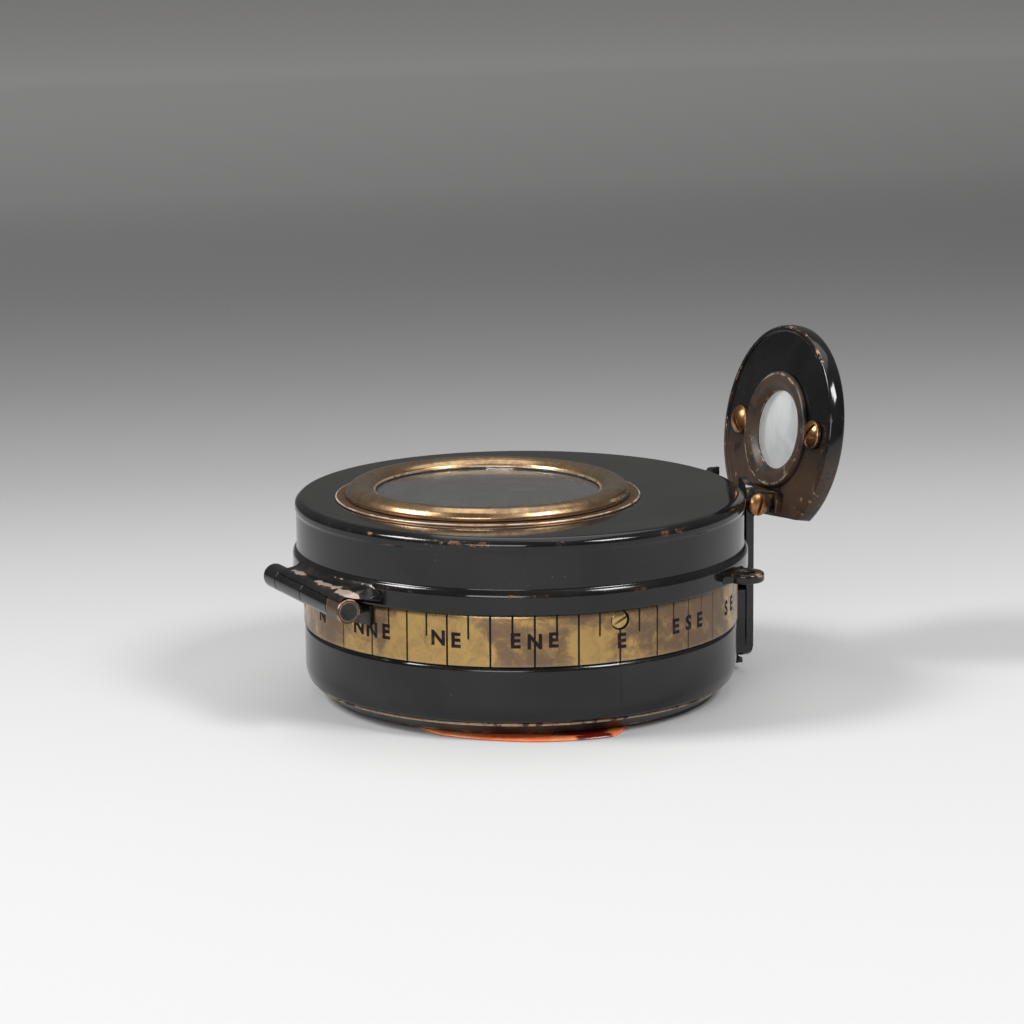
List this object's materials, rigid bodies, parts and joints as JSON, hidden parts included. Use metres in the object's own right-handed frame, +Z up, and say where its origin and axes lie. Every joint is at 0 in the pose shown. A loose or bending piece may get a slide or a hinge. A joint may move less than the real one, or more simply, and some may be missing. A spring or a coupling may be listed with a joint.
{
  "type": "geology compass",
  "caption": "Pocket compass: drum case with a graduated brass band, deep hinged lid with an off-centre window, and a lens sight that folds and slides.",
  "frame": {"origin": "on the drum's axis at the plane it rests on", "axes": "+Z up along the drum's axis, +X towards the lens sight, -X towards the lid hinge"},
  "size_m": [0.0741, 0.0586, 0.0446],
  "materials": {
    "black_lacquer": "worn glossy black lacquer on brass",
    "worn_brass": "worn, tarnished and partly polished",
    "band_brass": "aged lacquered brass with engraved marks",
    "steel": "plain",
    "glass": "clear",
    "card": "aged printed dial card",
    "jewel": "polished stone",
    "gasket": "matte",
    "red_pad": "glossy aged shellac"
  },
  "bodies": {
    "case": {"base_pad": "red_pad", "base_cover": "black_lacquer", "case_shell": "black_lacquer", "bearing_band": "band_brass", "band_screw": "worn_brass", "glass_gasket": "gasket", "case_glass": "glass", "glass_ring": "worn_brass", "pivot_post": "worn_brass", "lifter_bracket": "worn_brass", "lifter_pin": "steel", "case_hinge_leaf": "black_lacquer", "lid_hinge_pin": "worn_brass", "sight_guide": "black_lacquer", "guide_screw_low": "worn_brass", "guide_screw_high": "worn_brass"},
    "lid": {"lid_hinge_leaf": "black_lacquer", "lid_shell": "black_lacquer", "window_washer": "worn_brass", "window_bezel": "worn_brass", "window_glass": "glass", "window_retainer": "worn_brass", "sighting_line": "black_lacquer", "lid_lug": "black_lacquer"},
    "card": {"compass_card": "card", "card_magnet_a": "steel", "card_magnet_b": "steel", "card_cap": "worn_brass", "card_jewel": "jewel"},
    "lifter": {"lifter_lever": "worn_brass"},
    "stud": {"lift_stud": "steel"},
    "slide": {"sight_strap": "black_lacquer", "pivot_screw": "worn_brass"},
    "sight": {"sight_plate": "black_lacquer", "sight_bracket": "black_lacquer", "lens_cell": "black_lacquer", "sight_lens": "glass", "lens_clamp": "worn_brass", "clamp_screw_far": "worn_brass", "clamp_screw_near": "worn_brass"}
  },
  "joints": [
    {"name": "lid_hinge", "type": "hinge", "parent": "case", "child": "lid", "pos_m": [-0.0303, 0, 0.01635], "axis": [0, -1, 0], "range_deg": [0, 105]},
    {"name": "card_spin", "type": "hinge", "parent": "case", "child": "card", "pos_m": [0, 0, 0.0108], "axis": [0, 0, 1], "continuous": true},
    {"name": "lifter_rock", "type": "hinge", "parent": "case", "child": "lifter", "pos_m": [0.014, 0, 0.0081], "axis": [0, -1, 0], "range_deg": [0, 3.4]},
    {"name": "stud_slide", "type": "slide", "parent": "case", "child": "stud", "axis": [0, 0, 1], "range_m": [0, 0.0007]},
    {"name": "sight_slide", "type": "slide", "parent": "case", "child": "slide", "axis": [0, 0, 1], "range_m": [0, 0.0035]},
    {"name": "sight_hinge", "type": "hinge", "parent": "slide", "child": "sight", "pos_m": [0.0316, 0, 0.0225], "axis": [0, -1, 0], "range_deg": [-6, 96]}
  ],
  "couplings": [
    {"joint": "lifter_rock", "follows": "lid_hinge", "ratio": 0.0314},
    {"joint": "stud_slide", "follows": "lid_hinge", "m_per_rad": 0.00037}
  ]
}
